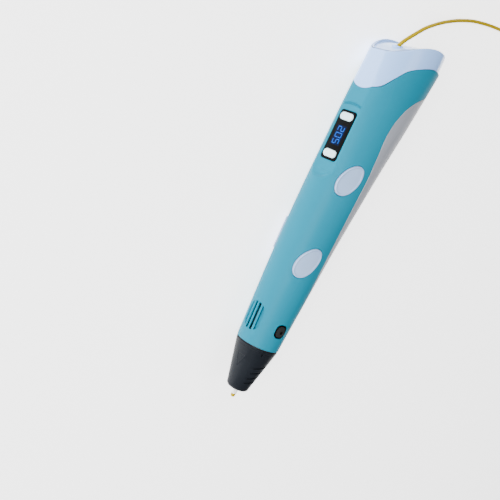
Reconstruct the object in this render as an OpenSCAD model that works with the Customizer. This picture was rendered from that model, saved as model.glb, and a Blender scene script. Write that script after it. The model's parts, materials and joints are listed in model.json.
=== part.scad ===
// A handheld three-dimensional drawing pen, lying on its left side.
// Pieces are drawn upright, nozzle tip at the origin and tail up +Z, display facing -Y
// and main buttons facing +X, and are then laid down so that +X buttons face up.

/* [Casing] */
// Height of the seam between the casing and the nose cone above the nozzle tip
seam_z = 26.4; // [26.2:0.1:26.6]
// Wall thickness of the casing
wall = 1.6; // [1.4:0.1:1.8]
// Distance of the flat front face from the pen's axis
flat_y = 10.65; // [10.6:0.05:10.8]
// Half the width of the flat front face's rounded lower end
flat_half_w = 6.4; // [6.2:0.1:6.6]
// Number of sides of the casing's cross-sections
casing_sides = 44; // [36:4:48]

/* [Display] */
// Width of the black display surround
bezel_w = 9.3; // [9.2:0.1:9.4]
// Height of the black display surround
bezel_h = 22.7; // [22.5:0.1:22.9]
// Height of the surround's centre above the nozzle tip
bezel_z = 126; // [125.8:0.1:126.2]
// Width of a temperature key
key_w = 7.3; // [7.2:0.1:7.6]
// Height of a temperature key
key_h = 3.4; // [3.3:0.1:3.6]
// How far a temperature key travels
key_travel = 0.35; // [0.2:0.05:0.35]

/* [Main buttons] */
// Long half-axis of the oval buttons
oval_a = 7.9; // [7.7:0.1:8]
// Short half-axis of the oval buttons
oval_b = 4.65; // [4.5:0.05:4.7]
// Lean of the ovals towards the back
oval_lean = 23; // [20:1:25]
// Direction that the ovals face, turned from the front
oval_turn = 66; // [65:1:67]
// How far an oval button travels
oval_travel = 0.6; // [0.3:0.1:0.6]
// How far the speed slider travels
slider_travel = 6; // [4:0.5:6]

/* [Nose] */
// Radius of the cone's lower end
cone_end_r = 5.45; // [5.2:0.05:5.5]
// Height of the cone's lower face above the nozzle tip
cone_end_z = 3.0; // [2.8:0.1:3.1]
// Radius of the bare ceramic nozzle
nozzle_r = 1.2; // [1.1:0.05:1.25]
// How far the cone pulls off
cone_travel = 28; // [20:1:30]

/* [Filament drive] */
// Diameter of the plastic filament
filament_d = 1.75; // [1.7:0.05:1.75]
// Radius of the knurled drive wheel
drive_r = 3.5; // [3.4:0.1:3.5]
// Radius of the idler bearing
idler_r = 3.4; // [3.2:0.1:3.4]
// Teeth of the gear on the drive shaft
gear_teeth = 20; // [20:1:20]
// Teeth of the motor's pinion
pinion_teeth = 12; // [12:1:12]
// Gear tooth module
gear_module = 0.5; // [0.5:0.1:0.5]

/* [Hidden] */
$fn = 48;
eps = 0.01;

// Stations of the casing: height, half width, front depth and back depth.
stations = [[26.4, 10.2, 10.2, 10.1], [40, 10.8, 10.75, 11.1], [60, 11.6, 11.7, 12.9],
    [80, 12.4, 12.05, 14.5], [100, 13.1, 12.1, 17], [120, 13.4, 12.1, 20.2],
    [140, 13.55, 12.1, 24.1], [155, 13.5, 11.8, 26.7], [170, 13.45, 11.2, 29.1],
    [184, 13.2, 10.6, 31]];
// How fast the tail cap's back leans in above its start, per millimetre squared.
cap_lean = 0.0035;
cap_lean_z = 150;
// Lower edge of the tail cap, as depth and height in the side view.
cap_edge = [[-14, 149.4], [-10.6, 149.8], [-8, 151.8], [-4.6, 157], [-0.6, 162.3],
    [7, 166.8], [13, 169], [20, 170], [32, 170.2]];
// Rim of the tail, as depth and height in the side view.
tail_rim = [[-14, 165.8], [-10.6, 166.1], [-6.7, 168.5], [-1.9, 171.8], [4.2, 175.1],
    [10, 177], [17, 177.9], [32, 178.4]];
// Front edge of the rear cover, as height and depth in the side view.
leaf_edge = [[44, 13], [46, 9.2], [50, 7], [60, 5.8], [80, 4.6], [100, 4.2], [114, 4.5],
    [124, 3.9], [133, 3.3], [140, 4.2], [146, 6.5], [150, 9.1], [154, 13.4], [157, 19]];
// Route of the loose filament after it leaves the tail, in the laid-down frame.
route = [[-83.5, -8.65, 13.56], [-86, -7.2, 13.6], [-89.4, -4.2, 13.3], [-92.5, -1, 12.8],
    [-95.8, 2.6, 12.1], [-99, 6.6, 11.2], [-102, 11.2, 10], [-105, 16.2, 8.6],
    [-108, 21.6, 7.2], [-110.8, 27, 5.9], [-113.6, 32.6, 4.7], [-116.2, 38.4, 3.6],
    [-118.6, 44, 2.6], [-120.8, 49.6, 1.8], [-122.7, 55.4, 1.3], [-124.4, 61, 1],
    [-125.9, 66.6, 0.9], [-127.2, 72.2, 0.9], [-128.4, 77.8, 0.9], [-129.4, 83, 0.9],
    [-129.8, 88, 0.9]];
coil_centre = [-146.4, 88];
coil_inner_r = 6.95;
coil_outer_r = 17.5;
coil_h = 10.6;

// Laid-down frame: the nozzle points along +X and the casing rests on z = 0.
nose_reach = 88.35;
mid_depth = 8.65;
rest_height = 13.56;

filament_r = filament_d / 2;
flat_start = 107;
pocket_y = flat_y - 0.3;
pocket_top = 141;
bezel_front = pocket_y + 0.15;
bezel_back = flat_y - 0.95;
board_y = 6.8;
board_t = 1;
key_zs = [bezel_z - bezel_h / 2 + 2.75, bezel_z + bezel_h / 2 - 2.75];
window_w = 6.2;
window_h = 12.2;
oval_places = [[110, 1], [70, 0]];
button_floor = 9.7;
switch_top = button_floor - oval_travel - 0.05;
button_board_r = 7.1;
latch_turn = 85;
latch_z = 36.7;
latch_w = 5.6;
latch_h = 6.4;
latch_travel = 1;
cap_tongue_w = 5.25;
cap_tongue_z = 148.2;
vent_w = 9.2;
vent_h = 13;
vent_z = 38.7;
slider_turn = -66;
slider_z = 74;
slider_surface = 11.87;
slider_tilt = 1.45;
drive_z = 88;
drive_y = filament_r + 0.025 + drive_r;
gear_gap = gear_module * (gear_teeth + pinion_teeth) / 2;
pinion_z = drive_z + gear_gap;
idler_y = -(filament_r + 0.025 + idler_r);
pivot_y = -5.6;
pivot_z = 97.6;
foot_y = 8.42;
screw_x = 4.6;
screw_z = 78.6;
shaft_r = 1;
pivot_r = 0.9;
idler_axle_r = 1.2;
spring_r = 2.25;
running = 0.05;
motor_y = 7.3;
fan_y = 2.6;
fan_z = 57;
fan_w = 14.6;
jack_y = 15.5;
jack_top = 176.2;
inlet_z = 171.8;

// A smooth value of column k at x, from rows whose first entry rises.
function row_at(t, x, i = 0) = (i >= len(t) - 2 || x < t[i + 1][0]) ? i : row_at(t, x, i + 1);
function slope_at(t, i, k) =
    let (a = max(i - 1, 0), b = min(i + 1, len(t) - 1))
    (t[b][k] - t[a][k]) / (t[b][0] - t[a][0]);
function smooth(t, x, k = 1) =
    let (i = row_at(t, x), w = t[i + 1][0] - t[i][0], s = (x - t[i][0]) / w)
    (2 * pow(s, 3) - 3 * pow(s, 2) + 1) * t[i][k]
    + (pow(s, 3) - 2 * pow(s, 2) + s) * w * slope_at(t, i, k)
    + (3 * pow(s, 2) - 2 * pow(s, 3)) * t[i + 1][k]
    + (pow(s, 3) - pow(s, 2)) * w * slope_at(t, i + 1, k);

// One cross-section of the casing, drawn in by inset, with its back leaning in by lean.
function section(z, inset, lean) =
    let (a = smooth(stations, z, 1) - inset, f = smooth(stations, z, 2) - inset,
        b = smooth(stations, z, 3) - inset - lean * pow(max(z - cap_lean_z, 0), 2))
    [for (i = [0:casing_sides - 1])
        let (t = 360 * i / casing_sides)
        [a * sin(t), (b - f) / 2 - (b + f) / 2 * cos(t), z]];

// The skin of stacked rings with equal numbers of points, closed at both ends.
function skin_faces(rings, n) = concat(
    [[for (i = [0:n - 1]) i]],
    [for (k = [0:rings - 2], i = [0:n - 1]) [k * n + i, (k + 1) * n + i, (k + 1) * n + (i + 1) % n]],
    [for (k = [0:rings - 2], i = [0:n - 1]) [k * n + i, (k + 1) * n + (i + 1) % n, k * n + (i + 1) % n]],
    [[for (i = [n - 1:-1:0]) (rings - 1) * n + i]]);

module casing_solid(z0, z1, inset = 0, lean = 0) {
    steps = ceil((z1 - z0) / 8);
    points = [for (k = [0:steps], p = section(z0 + (z1 - z0) * k / steps, inset, lean)) p];
    polyhedron(points, skin_faces(steps + 1, casing_sides));
}

// Free-form pieces are blended into one body, with no round feature that another piece turns in.
module blended() resize([0, 0, 0]) children();

module laid_down() translate([nose_reach, -mid_depth, rest_height]) rotate([0, -90, 0]) children();

// A prism along X from an outline in depth and height.
module side_prism(outline, w = 60) rotate([90, 0, 90]) linear_extrude(w, center = true) polygon(outline);

// A prism in front of a depth, from an outline in width and height.
module front_prism(y, depth) translate([0, -y, 0]) rotate([90, 0, 0]) linear_extrude(depth) children();

// A local frame on the casing's side: x around the pen, y up the pen and z outwards.
module facing(turn, z, shift = 0)
    rotate([0, 0, turn]) translate([shift, 0, z]) rotate([90, 0, 0]) children();

module rounded(w, h, r) {
    hull() for (x = [-1, 1], y = [-1, 1]) translate([x * (w / 2 - r), y * (h / 2 - r)]) circle(r, $fn = 24);
}

module flat_outline(lower) {
    hull() {
        translate([0, flat_start + lower + flat_half_w]) circle(flat_half_w, $fn = 40);
        translate([-flat_half_w, 190]) square([2 * flat_half_w, 10]);
    }
}

module front_flat(depth = 0) front_prism(flat_y - depth, 6) flat_outline(-depth);

module inner_space(inset = wall, lean = 0) {
    difference() {
        casing_solid(20, 186, inset, lean);
        front_flat(inset);
    }
}

module above(edge, lift = 0) {
    side_prism(concat([for (d = [-14:1.5:31]) [d, smooth(edge, d) + lift]], [[31, 200], [-14, 200]]));
}

// The space taken by the tail cap, whose lower edge on the flat front face is a tongue.
module cap_space(lift = 0) {
    above(cap_edge, lift);
    front_prism(6, 10) polygon(concat(
        [for (x = [-cap_tongue_w:0.75:cap_tongue_w]) [x, cap_tongue_z + 0.055 * x * x + lift]],
        [[cap_tongue_w, 152], [-cap_tongue_w, 152]]));
}

module behind_leaf(gap = 0) {
    side_prism(concat([for (z = [44 - gap:4:156]) [smooth(leaf_edge, z) - gap, z]],
        [[19 - gap, 157 + gap], [40, 158.6 + gap], [40, 44 - gap]]));
}

module oval(grow = 0) {
    rotate(-oval_lean) polygon([for (i = [0:39]) [(oval_b + grow) * sin(9 * i), (oval_a + grow) * cos(9 * i)]]);
}

module oval_prism(place, low, high, grow = 0) {
    facing(oval_turn, place[0], place[1]) translate([0, 0, low]) linear_extrude(high - low) oval(grow);
}

module latch_outline(grow = 0) {
    half_w = latch_w / 2 + grow;
    half_h = latch_h / 2 + grow;
    hull() for (side = [-1, 1]) {
        translate([side * (half_w - 1.6), 1.6 - half_h]) circle(1.6, $fn = 16);
        translate([side * (half_w - 2.4), half_h - 2.4]) circle(2.4, $fn = 24);
    }
}

module latch_prism(low, high, grow = 0) {
    facing(latch_turn, latch_z) translate([0, 0, low]) linear_extrude(high - low) latch_outline(grow);
}

module slider_frame() facing(slider_turn, slider_z) rotate([slider_tilt, 0, 0]) children();

// A rounded opening crossed by three bars: the inner two gaps go through and the outer two have a floor.
module vent_slot(x0, x1) {
    front_prism(6, 8) translate([0, vent_z]) intersection() {
        rounded(vent_w, vent_h, 3.8);
        translate([x0, -10]) square([x1 - x0, 20]);
    }
}

module vent_cuts() {
    for (side = [0, 1]) mirror([side, 0, 0]) {
        vent_slot(0.5, 1.85);
        difference() {
            vent_slot(2.85, vent_w / 2 + 1);
            casing_solid(26.4, 60, 1.1);
        }
    }
}

// Casing pieces

module main_shell() color("deepskyblue") blended() difference() {
    union() {
        difference() {
            casing_solid(seam_z, 182);
            inner_space();
        }
        intersection() {
            casing_solid(70, 90, wall / 2);
            for (x = [-screw_x, screw_x]) front_prism(foot_y, 4) translate([x, screw_z]) circle(1.5);
        }
    }
    for (x = [-screw_x, screw_x]) front_prism(foot_y - 1, 2.9) translate([x, screw_z]) circle(0.64);
    cap_space();
    behind_leaf();
    front_flat();
    front_prism(pocket_y, 3) translate([0, bezel_z - 1.5]) rounded(12.6, 2 * (pocket_top - bezel_z) + 4, 3);
    front_prism(bezel_back, 3) translate([0, bezel_z]) rounded(bezel_w + 0.2, bezel_h + 0.2, 1.5);
    front_prism(6, 6) translate([0, bezel_z]) rounded(bezel_w - 1.2, bezel_h - 1.2, 1);
    for (p = oval_places) oval_prism(p, 8, 16, 0.22);
    latch_prism(6, 14, 0.2);
    slider_frame() translate([-3.7, -12.7, 6]) cube([7.4, 25.4, 10]);
    vent_cuts();
}

module rear_cover() color("lavender") blended() intersection() {
    difference() {
        casing_solid(30, 170);
        inner_space();
    }
    behind_leaf(-0.12);
}

module tail_cap() color("ghostwhite") blended() difference() {
    intersection() {
        casing_solid(140, 183.9, 0, cap_lean);
        cap_space(0.08);
    }
    above(tail_rim);
    front_flat();
    intersection() {
        inner_space(1.5, cap_lean);
        above(tail_rim, -1.2);
    }
    difference() {
        inner_space(wall, cap_lean);
        above(tail_rim, -3);
    }
    translate([0, 0, 160]) cylinder(r = 2.55, h = 20, $fn = 32);
    translate([-4.6, jack_y - 4.6, 160]) cube([9.2, 9.2, 20]);
}

module seam_ring() color("black") translate([0, 0, seam_z - 0.25]) difference() {
    cylinder(r = 9.8, h = 0.25);
    translate([0, 0, -1]) cylinder(r = 8.05, h = 3);
}

// Display and keys

module display_bezel() color("black") blended() difference() {
    front_prism(bezel_back, bezel_front - bezel_back) translate([0, bezel_z]) rounded(bezel_w, bezel_h, 1.4);
    front_prism(6, 8) translate([0, bezel_z]) square([window_w + 0.1, window_h + 0.1], center = true);
    for (z = key_zs) front_prism(6, 8) translate([0, z]) rounded(key_w + 0.3, key_h + 0.3, 1.65);
}

module display_panel() color("midnightblue") {
    front_prism(board_y + 0.1, bezel_front - 0.1 - board_y - 0.1)
        translate([0, bezel_z]) square([window_w, window_h], center = true);
}

module key(z) {
    front_prism(bezel_front - 1.6, 2.2) translate([0, z]) rounded(key_w, key_h, 1.5);
}

module key_up() color("white") key(key_zs[1]);
module key_down() color("white") key(key_zs[0]);

module key_switches() color("dimgray") for (z = key_zs) {
    front_prism(board_y, 1.1) translate([0, z]) square([5, 3.4], center = true);
    front_prism(board_y + 1.1, bezel_front - 1.6 - key_travel - 0.05 - board_y - 1.1) translate([0, z]) circle(0.8);
}

// Feed and retract buttons

module oval_button(place) blended() difference() {
    intersection() {
        casing_solid(50, 130, -0.7);
        oval_prism(place, button_floor, 16);
    }
    difference() {
        oval_prism(place, 11, 16, -0.9);
        casing_solid(50, 130, -0.35);
    }
}

module feed_button() color("white") oval_button(oval_places[1]);
module retract_button() color("white") oval_button(oval_places[0]);

module button_board() color("green") for (p = oval_places) {
    facing(oval_turn, p[0], p[1]) translate([-3.2, -5, button_board_r]) cube([6.4, 10, 0.6]);
}

module button_switches() color("dimgray") for (p = oval_places) {
    facing(oval_turn, p[0], p[1]) translate([-2, -2, button_board_r + 0.6]) cube([4, 4, 0.7]);
    facing(oval_turn, p[0], p[1]) translate([0, 0, button_board_r + 1.3])
        cylinder(r = 0.9, h = switch_top - button_board_r - 1.3);
}

// Speed slider

module slider_arc(low, high, w, l, y0) {
    translate([-w / 2, y0, 0]) intersection() {
        cube([w, l, 20]);
        translate([w / 2, -1, 0]) rotate([-90, 0, 0]) difference() {
            cylinder(r = slider_surface + high, h = l + 2, $fn = 96);
            translate([0, 0, -1]) cylinder(r = slider_surface + low, h = l + 4, $fn = 96);
        }
    }
}

module slider_track() color("white") slider_frame() difference() {
    slider_arc(-1.5, -0.25, 7.2, 25, -12.5);
    translate([-0.9, -9.5, 5]) cube([1.8, 18.5, 10]);
}

module speed_slider() color("white") slider_frame() {
    difference() {
        slider_arc(-0.2, 0.8, 6.4, 15.5, -4.9);
        for (i = [0:17]) translate([-5, -4.3 + 0.84 * i, slider_surface - 1]) rotate([45, 0, 0]) translate([0, 0.95, 0.95]) cube([10, 0.4, 0.4]);
    }
    translate([-0.7, 1.2, slider_surface - 2.4]) cube([1.4, 3, 2.6]);
}

module speed_potentiometer() color("dimgray") slider_frame() difference() {
    translate([-2.6, -11, slider_surface - 4]) cube([5.2, 21, 1.9]);
    translate([-0.9, -8.8, slider_surface - 2.6]) cube([1.8, 16.5, 3]);
}

// Latch beside the seam

module latch_button() color("black") blended() difference() {
    intersection() {
        casing_solid(28, 50, -0.15);
        latch_prism(8.35, 13);
    }
    facing(latch_turn, latch_z - 0.5) translate([0.6, 0, 10.2]) sphere(0.9, $fn = 20);
}

// Nose

cone_top_r = 10.15;
cone_top_z = seam_z - 0.5;
cone_wall = 1.3;
cone_round = 2.0;
cone_bore_r = 2.2;
louvre_depth = 0.9;
louvre_zs = [8.9, 11.5, 14.5, 17.3];
notch_turn = 67.5;
function cone_r(z) = cone_end_r + (cone_top_r - cone_end_r) * (z - cone_end_z - cone_round) / (cone_top_z - cone_end_z - cone_round);

module nose_cone() color("dimgray") difference() {
    rotate_extrude() polygon(concat(
        [[cone_bore_r, cone_end_z], [cone_end_r - cone_round, cone_end_z]],
        [for (a = [15:15:75]) [cone_end_r - cone_round + cone_round * sin(a),
            cone_end_z + cone_round - cone_round * cos(a)]],
        [[cone_end_r, cone_end_z + cone_round], [cone_top_r, cone_top_z], [7.85, cone_top_z],
            [7.85, cone_top_z + 4.2], [6.8, cone_top_z + 4.2], [6.8, cone_top_z - 2],
            [cone_r(10) - cone_wall, 10], [4.3, 7.4], [4.3, 4.6], [cone_bore_r, 4.6]]));
    for (side = [95, 275], z = louvre_zs)
        rotate([0, 0, side]) translate([0, louvre_depth - cone_r(z), z])
            rotate([0, -16, 0]) translate([-4, -3, -0.5]) cube([8, 3, 1]);
    for (turn = [notch_turn, notch_turn + 180])
        rotate([0, 0, turn]) translate([-0.2, -12, cone_top_z - 2.2]) cube([0.4, 3, 3]);
}

module ceramic_nozzle() color("white") rotate_extrude() polygon([[0.35, 0], [nozzle_r - 0.1, 0],
    [nozzle_r, 0.1], [nozzle_r, 3.2], [1.8, 3.2], [1.8, 5.2], [2.3, 5.9], [2.3, 22], [1, 22], [1, 1.2],
    [0.35, 0.8]]);

module melt_bead() color("gold") rotate_extrude() polygon(concat([[0, -eps]],
    [for (a = [0:15:90]) [1.05 * sin(a), -0.85 - 0.9 * cos(a)]], [[1.05, -0.4], [0.9, -eps]]));

module heater_sleeve() color("goldenrod") translate([0, 0, 7.6]) difference() {
    cylinder(r = 3.3, h = 12);
    translate([0, 0, -1]) cylinder(r = 2.35, h = 14);
}

module heater_insulation() color("wheat") translate([0, 0, 7.9]) difference() {
    cylinder(r = 3.95, h = 11.4);
    translate([0, 0, -1]) cylinder(r = 3.35, h = 14);
}

module thermistor() color("sienna") translate([0, 3.1, 21]) {
    sphere(0.75);
}

module nozzle_holder() color("dimgray") difference() {
    union() {
        translate([0, 0, 30.8]) cylinder(r = 8, h = 1.8);
        translate([0, 0, 22.1]) cylinder(r = 3, h = 12);
    }
    translate([0, 0, 20]) cylinder(r = 1.05, h = 20);
    for (a = [30:60:330]) rotate([0, 0, a]) translate([5.6, 0, 29]) cylinder(r = 0.9, h = 6);
}

module tube(z0, z1, r_in, r_out) {
    translate([0, 0, z0]) difference() {
        cylinder(r = r_out, h = z1 - z0);
        translate([0, 0, -1]) cylinder(r = r_in, h = z1 - z0 + 2);
    }
}

module guide_tube() color("azure") tube(34.2, 84, 1, 2);
module upper_guide_tube() color("azure") tube(93.5, 167.5, 1, 2);

module inlet_ferrule() color("ghostwhite") tube(167.6, 171.6, 1.1, 2.5);

module filament_core() color("gold") translate([0, 0, 1.3]) cylinder(r = filament_r, h = inlet_z - 1.3);

// Cooling fan

module fan_frame() color("black") translate([0, fan_y, fan_z]) rotate([-90, 0, 0]) {
    difference() {
        translate([-fan_w / 2, -fan_w / 2, 0]) cube([fan_w, fan_w, 4]);
        translate([0, 0, 0.8]) cylinder(r = 6.9, h = 5);
        difference() {
            translate([0, 0, -1]) cylinder(r = 6.9, h = 3);
            translate([0, 0, -2]) cylinder(r = 2.9, h = 5);
            for (a = [0:90:270]) rotate([0, 0, a + 45]) translate([0, -0.5, -2]) cube([8, 1, 5]);
        }
    }
    cylinder(r = 0.6, h = 3.2);
}

module fan_rotor() color("dimgray") translate([0, fan_y, fan_z]) rotate([-90, 0, 0]) difference() {
    union() {
        translate([0, 0, 1]) cylinder(r = 3, h = 2.7);
        for (a = [0:360 / 7:359]) rotate([0, 0, a]) translate([2.6, 0, 2.35])
            rotate([35, 0, 0]) translate([0, -1.3, -0.25]) cube([3.9, 2.6, 0.5]);
    }
    translate([0, 0, 0.5]) cylinder(r = 0.65, h = 2.9);
}

// Filament drive: wheel, gears, idler and motor

function involute(r, a) = [r * (cos(a) + a * PI / 180 * sin(a)), r * (sin(a) - a * PI / 180 * cos(a))];
function turned(p, a) = [p[0] * cos(a) - p[1] * sin(a), p[0] * sin(a) + p[1] * cos(a)];

// A spur gear's outline with a tooth centred on +x; slim narrows each flank in degrees.
module spur(teeth, tip, slim) {
    pitch_r = gear_module * teeth / 2;
    base_r = pitch_r * cos(20);
    root_r = pitch_r - 1.25 * gear_module;
    half = 90 / teeth + (tan(20) * 180 / PI - 20) - slim;
    tip_a = sqrt(pow(tip / base_r, 2) - 1) * 180 / PI;
    flank = [for (i = [0:4]) turned(involute(base_r, tip_a * i / 4), -half)];
    polygon([for (k = [0:teeth - 1]) let (a = 360 * k / teeth) each concat(
        [turned([min(root_r, base_r), 0], a - half)],
        [for (p = flank) turned(p, a)],
        [for (i = [4:-1:0]) turned([flank[i][0], -flank[i][1]], a)],
        [turned([min(root_r, base_r), 0], a + half)])]);
}

// Along +X with the outline's +x pointing up the pen.
module across(y, z, x0, l) translate([x0, y, z]) rotate([0, -90, 0]) mirror([0, 0, 1]) linear_extrude(l) children();

module drive_wheel() color("silver") {
    across(drive_y, drive_z, -2.2, 4.4) polygon([for (k = [0:23]) each
        [[drive_r * cos(15 * k - 3.2), drive_r * sin(15 * k - 3.2)],
            [drive_r * cos(15 * k + 3.2), drive_r * sin(15 * k + 3.2)],
            [(drive_r - 0.3) * cos(15 * k + 7.5), (drive_r - 0.3) * sin(15 * k + 7.5)]]]);
    across(drive_y, drive_z, -4.4, 11.2) circle(shaft_r);
}

module drive_gear() color("gold") difference() {
    across(drive_y, drive_z, 4.35, 2.1) spur(gear_teeth, 5.35, 1.1);
    across(drive_y, drive_z, 4, 3) circle(shaft_r);
}

module motor_pinion() color("goldenrod") {
    across(drive_y, pinion_z, 4.35, 2.1) rotate(180 / pinion_teeth) spur(pinion_teeth, 3.4, 1.6);
    across(drive_y, pinion_z, 0.5, 3.9) circle(0.75);
}

module drive_bracket() color("slategray") difference() {
    union() {
        for (x = [-3.9, 2.7]) translate([x, 0, 0]) {
            rotate([90, 0, 90]) linear_extrude(1.2) polygon([[-7.6, 81], [8.2, 81], [8.2, 91.6],
                [-3.6, 91.6], [-3.6, 101.6], [-7.6, 101.6]]);
        }
        translate([-2.7, -7.55, 100.6]) cube([5.4, 1, 1]);
        translate([-2.7, -3, 81]) cube([5.4, 6, 3]);
        translate([-5.7, -foot_y + 0.02, 76.9]) cube([11.4, 1, 5.8]);
        translate([-2.9, -7.6, 79]) cube([5.8, 4.8, 3]);
    }
    translate([0, 0, 70]) cylinder(r = 2.02, h = 20);
    across(drive_y, drive_z, -8, 16) circle(shaft_r + running);
    across(pivot_y, pivot_z, -8, 16) circle(pivot_r);
    for (x = [-screw_x, screw_x]) translate([x, -6, screw_z]) rotate([90, 0, 0]) cylinder(r = 0.65, h = 4);
}

module idler_arm() color("lightgray") {
    for (x = [-2.5, 1.6]) translate([x, 0, 0]) difference() {
        hull() {
            across(pivot_y, pivot_z, 0, 0.9) circle(1.9, $fn = 32);
            across(idler_y, drive_z, 0, 0.9) circle(1.9, $fn = 32);
        }
        across(pivot_y, pivot_z, -1, 3) circle(pivot_r + running);
    }
    across(pivot_y, pivot_z, -1.6, 3.2) difference() {
        circle(1.8);
        circle(pivot_r + running);
    }
    across(idler_y, drive_z, -1.7, 3.4) circle(idler_axle_r);
    translate([-1.7, -7.55, 92.5]) cube([3.4, 1, 1]);
}

module idler_bearing() color("silver") across(idler_y, drive_z, -1.4, 2.8) difference() {
    circle(idler_r);
    circle(idler_axle_r + running);
}

module idler_pivot() color("silver") {
    across(pivot_y, pivot_z, -4.1, 8.2) circle(pivot_r);
    for (x = [-4.5, 4.1]) across(pivot_y, pivot_z, x, 0.4) circle(1.4);
}

// A torsion spring around the idler's pivot, with one leg on the bracket and one on the arm.
module idler_spring() color("silver") {
    turns = 3;
    coil = [for (i = [0:12 * turns]) let (a = 180 - 30 * i)
        [0.4 * i / 6 - 1.2, pivot_y + spring_r * cos(a), pivot_z + spring_r * sin(a)]];
    lower = [[-1.2, pivot_y - spring_r, 92.4], [-1.2, pivot_y - spring_r, 95.6]];
    upper = [[1.2, pivot_y - spring_r, 99.4], [1.2, pivot_y - spring_r, 101.4]];
    swept(concat(lower, coil, upper), 0.26, 8, [1, 0.02, 0.03]);
}

module gearbox() color("gold") difference() {
    translate([-5.6, 2.3, 92.2]) cube([9, 9.6, 9.4]);
    across(drive_y, pinion_z, 0.4, 5) circle(0.8);
}

module drive_motor() color("silver") translate([-1.2, motor_y + 0.3, 101.7]) {
    cylinder(r = 5, h = 15);
    translate([0, 0, 15]) cylinder(r = 4.2, h = 1.2);
    for (x = [-2.6, 2.6]) translate([x - 0.5, -0.2, 16.2]) cube([1, 0.4, 1.8]);
}

// Boards and power

module main_board() color("darkgreen") difference() {
    front_prism(board_y - board_t, board_t) translate([-5.5, 104]) square([11, 42]);
    for (z = [107.5, 142.5]) front_prism(4, 4) translate([0, z]) circle(0.85);
}

module board_chips() color("black") {
    for (c = [[0, 112, 4.4, 4.4, 0.9], [1.5, 120, 6, 5, 1.2], [-2, 127, 3, 3, 0.8], [2, 132, 5, 4, 1.1],
            [-3, 137, 2.4, 4, 1.5], [2.6, 138, 3, 2, 0.9]])
        front_prism(board_y - board_t - c[4], c[4]) translate([c[0] - c[2] / 2, c[1] - c[3] / 2]) square([c[2], c[3]]);
}

module screw(l) {
    cylinder(r = 0.6, h = l);
    translate([0, 0, -0.8]) difference() {
        cylinder(r = 1.1, h = 0.8);
        translate([-0.8, -0.15, -0.1]) cube([1.6, 0.3, 0.4]);
        translate([-0.15, -0.8, -0.1]) cube([0.3, 1.6, 0.4]);
    }
}

module board_screws() color("silver") for (z = [107.5, 142.5])
    translate([0, -board_y + board_t + 0.02, z]) rotate([90, 0, 0]) screw(2.8);

module bracket_screws() color("silver") for (x = [-screw_x, screw_x])
    translate([x, -foot_y + 1.03, screw_z]) rotate([90, 0, 0]) screw(2.6);

module power_jack() color("black") translate([0, jack_y, jack_top]) difference() {
    translate([-4.5, -4.5, -13]) cube([9, 9, 13]);
    translate([0, 0, -10]) cylinder(r = 2.85, h = 12);
}

module jack_pin() color("silver") translate([0, jack_y, jack_top - 9.98]) {
    cylinder(r = 1, h = 7.6);
    translate([0, 0, 7.6]) sphere(0.99);
}

// Wires

function unit(v) = v / norm(v);
function along(p, i) = unit(p[min(i + 1, len(p) - 1)] - p[max(i - 1, 0)]);
function sweep(p, r, n, up) = [for (i = [0:len(p) - 1], k = [0:n - 1])
    let (d = along(p, i), s = unit(cross(up, d)), u = cross(d, s))
    p[i] + r * (cos(360 * k / n) * s + sin(360 * k / n) * u)];

module swept(p, r, n = 8, up = [0, 0, 1]) polyhedron(sweep(p, r, n, up), skin_faces(len(p), n));

// Points of a smooth curve through hand-chosen points.
function spline(p, steps) = [for (i = [0:len(p) - 2], k = [0:steps - 1]) let (s = k / steps,
        m0 = (p[min(i + 1, len(p) - 1)] - p[max(i - 1, 0)]) / 2, m1 = (p[min(i + 2, len(p) - 1)] - p[i]) / 2)
    (2 * pow(s, 3) - 3 * pow(s, 2) + 1) * p[i] + (pow(s, 3) - 2 * pow(s, 2) + s) * m0
    + (3 * pow(s, 2) - 2 * pow(s, 3)) * p[i + 1] + (pow(s, 3) - pow(s, 2)) * m1];

module wire(points, r = 0.5) swept(spline(points, 3), r, 6, [0.3, 1, 0.1]);

module heater_wires() color("firebrick") for (x = [-1, 1])
    wire([[x * 2.9, -1.7, 19.7], [x * 3.6, -2.1, 22.4], [x * 4.5, -2.6, 26.5], [x * 4.85, -2.8, 30.4],
        [x * 4.85, -2.8, 34], [x * 4.7, -3.1, 46], [x * 4.6, -3.2, 62], [x * 4.6, -3.2, 78],
        [x * 4.6, -3.2, 92], [x * 4.7, -3.6, 100], [x * 4.4, -4.4, 105.5], [x * 4.2, -5.2, 109.5]]);

module motor_wires() color("firebrick") {
    wire([[-3.8, motor_y + 0.3, 119.75], [-4.2, 6.6, 122.5], [-4.7, 3, 125.5], [-4.9, -1.5, 128],
        [-4.8, -5.2, 131.5]], 0.45);
    wire([[1.4, motor_y + 0.3, 119.75], [2, 7.2, 121.5], [3.6, 5, 123.5], [4.8, 1.5, 124.7],
        [5, -2, 125.8], [4.9, -5.2, 128.5]], 0.45);
}

module power_wires() color("firebrick") for (x = [-1, 1])
    wire([[x * 1.6, jack_y, 163.15], [x * 1.6, 14.5, 157], [x * 2.2, 9, 151], [x * 3.2, 3, 147.5],
        [x * 3.2, -2.5, 144.5], [x * 3.2, -5.2, 141.8]]);

module filament_strand() color("gold") swept(spline(route, 2), filament_r, 8);

module filament_coil() color("gold") translate([coil_centre[0], coil_centre[1], 0]) rotate_extrude()
    translate([coil_inner_r, 0.02]) square([coil_outer_r - coil_inner_r, coil_h]);

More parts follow.
